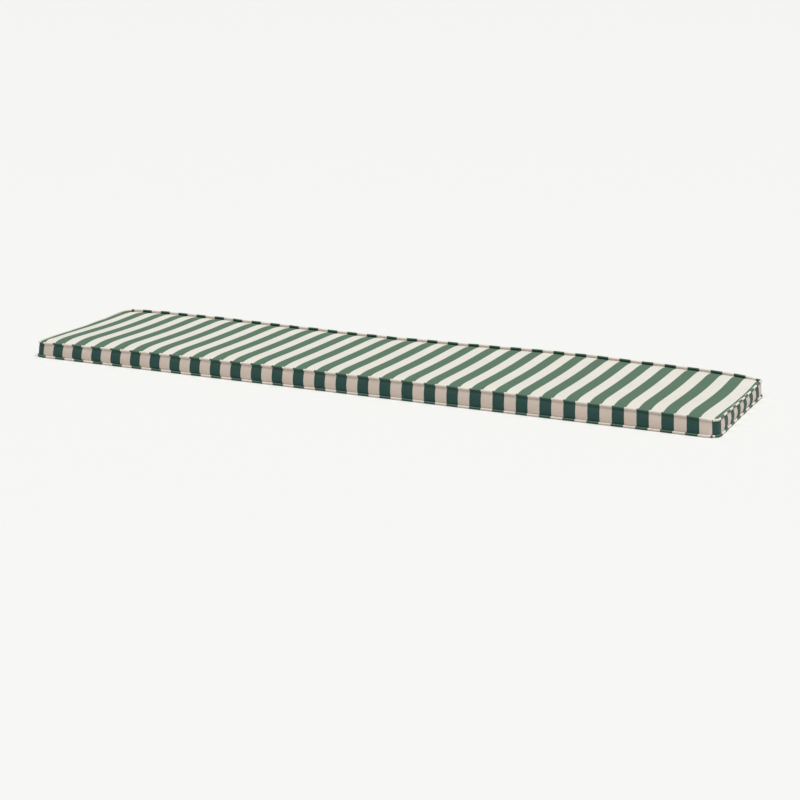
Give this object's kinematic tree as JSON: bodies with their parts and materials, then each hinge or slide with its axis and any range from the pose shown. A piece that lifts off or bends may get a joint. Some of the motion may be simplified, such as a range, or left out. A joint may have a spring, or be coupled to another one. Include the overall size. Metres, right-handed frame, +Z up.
{
  "type": "bench cushion",
  "caption": "Long boxed bench cushion with a softly hollowed top, drawn-in striped sides and piping of the same cloth sewn into its upper and lower edges.",
  "frame": {"origin": "below the middle of the cushion, on the surface it lies on", "axes": "+X along its length to the right seen from the front, +Y from the front edge to the back edge, +Z up"},
  "size_m": [1.9448, 0.4877, 0.0591],
  "materials": {
    "striped_cover": "plain-woven outdoor cloth in equal green and off-white stripes",
    "striped_piping": "the same striped cloth sewn round a cord"
  },
  "bodies": {
    "root": {"cushion_body": "striped_cover", "lower_piping": "striped_piping", "upper_piping": "striped_piping"}
  },
  "joints": []
}
